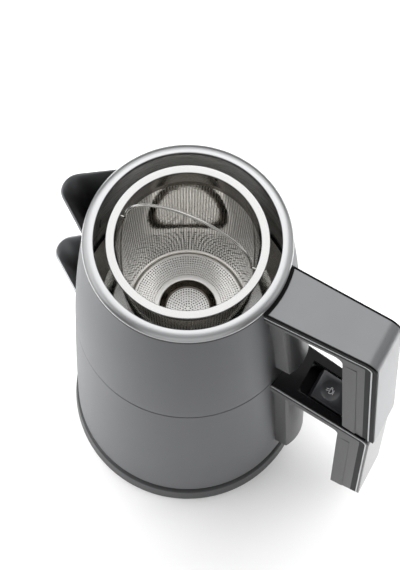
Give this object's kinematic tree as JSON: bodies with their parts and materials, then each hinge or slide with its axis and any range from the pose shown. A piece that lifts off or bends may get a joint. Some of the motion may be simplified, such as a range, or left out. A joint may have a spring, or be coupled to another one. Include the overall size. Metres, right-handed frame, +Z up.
{
  "type": "two-tier automatic tea maker",
  "caption": "Tall steel tea maker: a teapot with a perforated tea basket stands on an electric kettle on its power base, with beak spouts and open handles one above the other.",
  "frame": {"origin": "on the vessels' axis, level with the undersides of the rubber feet, at the middle of the centre foot's face", "axes": "+Z up along the vessels' axis, -X to the spouts' tips, +X to the handles, +Y to the cord bush"},
  "size_m": [0.2455, 0.1682, 0.3462],
  "materials": {
    "satin_steel": "satin",
    "spout_steel": "satin",
    "rim_steel": "fine satin",
    "liner_steel": "satin",
    "basket_steel": "polished",
    "valve_steel": "polished",
    "element_metal": "as drawn",
    "handle_plastic": "fine satin",
    "gloss_black": "gloss",
    "plate_grey": "satin metallic",
    "trim_chrome": "satin",
    "key_plastic": "gloss",
    "base_plastic": "fine grain",
    "black_rubber": "matte",
    "screw_steel": "plain"
  },
  "bodies": {
    "power_base": {"base_cover": "base_plastic", "base_plate": "base_plastic", "base_feet": "black_rubber", "base_screws": "screw_steel", "base_socket": "base_plastic", "cord_grommet": "black_rubber"},
    "kettle": {"kettle_shell": "satin_steel", "kettle_liner": "liner_steel", "kettle_top_ring": "base_plastic", "kettle_spout": "spout_steel", "heater_plate": "liner_steel", "heater_element": "element_metal", "kettle_connector": "base_plastic", "kettle_bottom_cover": "base_plastic", "temperature_sensor": "base_plastic", "kettle_handle_frame": "handle_plastic", "kettle_handle_grip": "handle_plastic", "kettle_handle_cover": "gloss_black", "kettle_handle_trim": "trim_chrome", "kettle_handle_screws": "screw_steel", "brew_key_spring": "screw_steel", "brew_switch": "base_plastic"},
    "key": {"brew_key": "key_plastic"},
    "teapot": {"teapot_rim": "rim_steel", "rim_gasket": "black_rubber", "teapot_shell": "satin_steel", "teapot_liner": "liner_steel", "pan_seal": "black_rubber", "teapot_pan": "liner_steel", "teapot_foot_ring": "base_plastic", "seat_seal": "black_rubber", "teapot_spout": "spout_steel", "teapot_handle_frame": "handle_plastic", "teapot_handle_grip": "handle_plastic", "teapot_handle_bezel": "gloss_black", "teapot_handle_trim": "trim_chrome", "teapot_handle_cover": "plate_grey", "teapot_handle_screws": "screw_steel", "valve_body": "valve_steel", "valve_cap": "valve_steel", "riser_tube": "valve_steel"},
    "valve": {"valve_disc": "black_rubber"},
    "basket": {"basket_rim": "basket_steel", "basket_wall": "basket_steel", "basket_floor": "basket_steel"},
    "bail": {"basket_bail": "basket_steel"}
  },
  "joints": [
    {"name": "kettle_lift", "type": "slide", "parent": "power_base", "child": "kettle", "axis": [0, 0, 1], "range_m": [0, 0.06]},
    {"name": "brew_key_press", "type": "slide", "parent": "kettle", "child": "key", "axis": [-0.309, 0, -0.9511], "range_m": [0, 0.0025], "stiffness_N_per_m": 500, "springref_m": -0.0015, "deforming": ["brew_key_spring"]},
    {"name": "teapot_lift", "type": "slide", "parent": "kettle", "child": "teapot", "axis": [0, 0, 1], "range_m": [0, 0.17]},
    {"name": "valve_lift", "type": "slide", "parent": "teapot", "child": "valve", "axis": [0, 0, 1], "range_m": [0, 0.0015]},
    {"name": "basket_lift", "type": "slide", "parent": "teapot", "child": "basket", "axis": [0, 0, 1], "range_m": [0, 0.15]},
    {"name": "bail_swing", "type": "hinge", "parent": "basket", "child": "bail", "pos_m": [0, 0, 0.3046], "axis": [0.9945, 0.1045, 0], "continuous": true}
  ]
}
